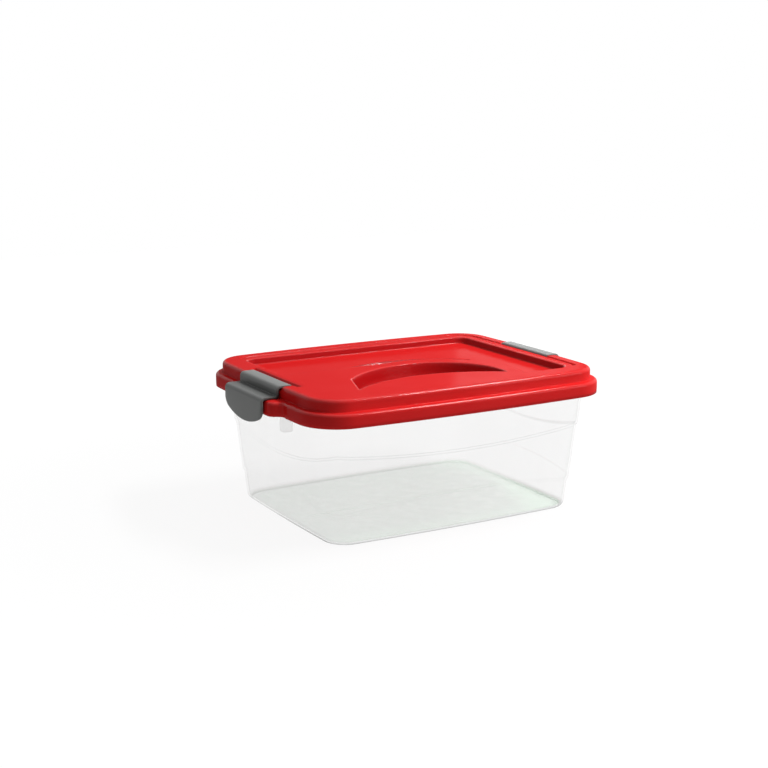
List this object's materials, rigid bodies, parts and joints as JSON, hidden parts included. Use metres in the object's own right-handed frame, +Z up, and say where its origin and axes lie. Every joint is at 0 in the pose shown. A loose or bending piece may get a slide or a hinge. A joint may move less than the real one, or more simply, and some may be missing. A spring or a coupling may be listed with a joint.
{
  "type": "latched storage box",
  "caption": "Clear tapered storage tub with a red lift-off lid that has a sunk grip panel, and a grey clip latch hinged to the lid at each end.",
  "frame": {"origin": "on the surface that the tub stands on, under the middle of its floor", "axes": "+X along the length towards the right latch, -Y the front, +Z up"},
  "size_m": [0.395, 0.292, 0.1596],
  "materials": {
    "tub_clear": "clear polypropylene, slightly hazy",
    "lid_red": "moulded, semi-gloss",
    "latch_grey": "moulded, satin"
  },
  "bodies": {
    "tub": {"tub": "tub_clear"},
    "lid": {"lid": "lid_red"},
    "latch_left": {"latch_left": "latch_grey"},
    "latch_right": {"latch_right": "latch_grey"}
  },
  "joints": [
    {"name": "lid_lift", "type": "slide", "parent": "tub", "child": "lid", "axis": [0, 0, 1], "range_m": [0, 0.15]},
    {"name": "latch_left_hinge", "type": "hinge", "parent": "lid", "child": "latch_left", "pos_m": [-0.1642, 0, 0.157], "axis": [0, 1, 0], "range_deg": [0, 105]},
    {"name": "latch_right_hinge", "type": "hinge", "parent": "lid", "child": "latch_right", "pos_m": [0.1642, 0, 0.157], "axis": [0, -1, 0], "range_deg": [0, 105]}
  ]
}
